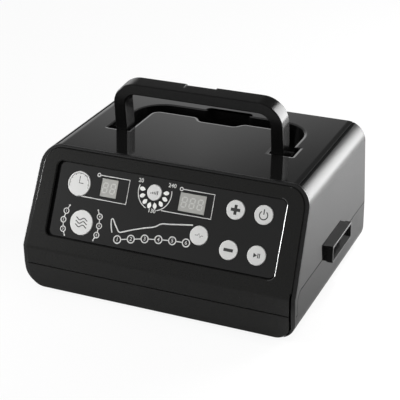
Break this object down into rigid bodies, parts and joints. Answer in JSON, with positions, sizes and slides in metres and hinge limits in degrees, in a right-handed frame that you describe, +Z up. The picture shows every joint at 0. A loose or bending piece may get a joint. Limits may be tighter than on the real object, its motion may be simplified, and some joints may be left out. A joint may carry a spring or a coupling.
{
  "type": "compression therapy pump",
  "caption": "Air compression therapy control unit with a sloped button panel, display windows, folding carry handle and a hose socket on one side.",
  "frame": {"origin": "middle of the footprint, on the surface that the feet stand on", "axes": "+X to the right as seen from the control panel, along the width; +Y from the panel to the rear; +Z up"},
  "size_m": [0.2594, 0.1894, 0.1695],
  "materials": {
    "gloss_black": "gloss",
    "satin_black": "satin",
    "label_film": "satin film",
    "cap_grey": "satin",
    "display_grey": "semi-gloss window",
    "lamp_white": "milky clear",
    "board_green": "solder resist",
    "part_black": "matt",
    "rubber_black": "matt",
    "steel": "zinc plated",
    "cast_metal": "as cast",
    "tube_clear": "smooth silicone",
    "white_plastic": "satin"
  },
  "bodies": {
    "body": {"upper_housing": "gloss_black", "lower_housing": "gloss_black", "front_frame": "satin_black", "front_bezel": "satin_black", "front_skirt": "satin_black", "port_collar": "satin_black", "control_overlay": "label_film", "time_display": "display_grey", "pressure_display": "display_grey", "mode_light_guide_left": "lamp_white", "mode_light_guide_right": "lamp_white", "chamber_light_guide": "lamp_white", "gauge_light_guide": "lamp_white", "control_board": "board_green", "power_board": "board_green", "port_block": "part_black", "mains_inlet": "part_black", "mains_transformer": "part_black", "pump_head_left": "part_black", "pump_head_right": "part_black", "foot_front_left": "rubber_black", "foot_front_right": "rubber_black", "foot_rear_left": "rubber_black", "foot_rear_right": "rubber_black", "pump_mount_1": "rubber_black", "pump_mount_2": "rubber_black", "pump_mount_3": "rubber_black", "pump_mount_4": "rubber_black", "handle_pin_left": "steel", "handle_pin_right": "steel", "smoothing_capacitor": "steel", "housing_screw_1": "steel", "housing_screw_2": "steel", "housing_screw_3": "steel", "housing_screw_4": "steel", "board_screw_1": "steel", "board_screw_2": "steel", "board_screw_3": "steel", "board_screw_4": "steel", "solenoid_valve_1": "steel", "solenoid_valve_2": "steel", "solenoid_valve_3": "steel", "solenoid_valve_4": "steel", "solenoid_valve_5": "steel", "solenoid_valve_6": "steel", "pump_body": "cast_metal", "supply_tube": "tube_clear", "outlet_hoses": "tube_clear", "valve_manifold": "white_plastic"},
    "handle": {"carry_handle": "satin_black"},
    "time_button_cap": {"time_button": "cap_grey"},
    "mode_button_cap": {"mode_button": "cap_grey"},
    "gauge_button_cap": {"gauge_button": "cap_grey"},
    "leg_button_cap": {"leg_button": "cap_grey"},
    "plus_button_cap": {"plus_button": "cap_grey"},
    "minus_button_cap": {"minus_button": "cap_grey"},
    "power_button_cap": {"power_button": "cap_grey"},
    "start_button_cap": {"start_button": "cap_grey"}
  },
  "joints": [
    {"name": "handle_fold", "type": "hinge", "parent": "body", "child": "handle", "pos_m": [-0.0047, 0.0088, 0.1127], "axis": [-1, 0, 0], "range_deg": [0, 95]},
    {"name": "time_button_press", "type": "slide", "parent": "body", "child": "time_button_cap", "axis": [0, 0.8804, -0.4742], "range_m": [0, 0.0006], "stiffness_N_per_m": 1200, "springref_m": -0.0003},
    {"name": "mode_button_press", "type": "slide", "parent": "body", "child": "mode_button_cap", "axis": [0, 0.8804, -0.4742], "range_m": [0, 0.0006], "stiffness_N_per_m": 1200, "springref_m": -0.0003},
    {"name": "gauge_button_press", "type": "slide", "parent": "body", "child": "gauge_button_cap", "axis": [0, 0.8804, -0.4742], "range_m": [0, 0.0006], "stiffness_N_per_m": 1200, "springref_m": -0.0003},
    {"name": "leg_button_press", "type": "slide", "parent": "body", "child": "leg_button_cap", "axis": [0, 0.8804, -0.4742], "range_m": [0, 0.0006], "stiffness_N_per_m": 1200, "springref_m": -0.0003},
    {"name": "plus_button_press", "type": "slide", "parent": "body", "child": "plus_button_cap", "axis": [0, 0.8804, -0.4742], "range_m": [0, 0.0006], "stiffness_N_per_m": 1200, "springref_m": -0.0003},
    {"name": "minus_button_press", "type": "slide", "parent": "body", "child": "minus_button_cap", "axis": [0, 0.8804, -0.4742], "range_m": [0, 0.0006], "stiffness_N_per_m": 1200, "springref_m": -0.0003},
    {"name": "power_button_press", "type": "slide", "parent": "body", "child": "power_button_cap", "axis": [0, 0.8804, -0.4742], "range_m": [0, 0.0006], "stiffness_N_per_m": 1200, "springref_m": -0.0003},
    {"name": "start_button_press", "type": "slide", "parent": "body", "child": "start_button_cap", "axis": [0, 0.8804, -0.4742], "range_m": [0, 0.0006], "stiffness_N_per_m": 1200, "springref_m": -0.0003}
  ]
}
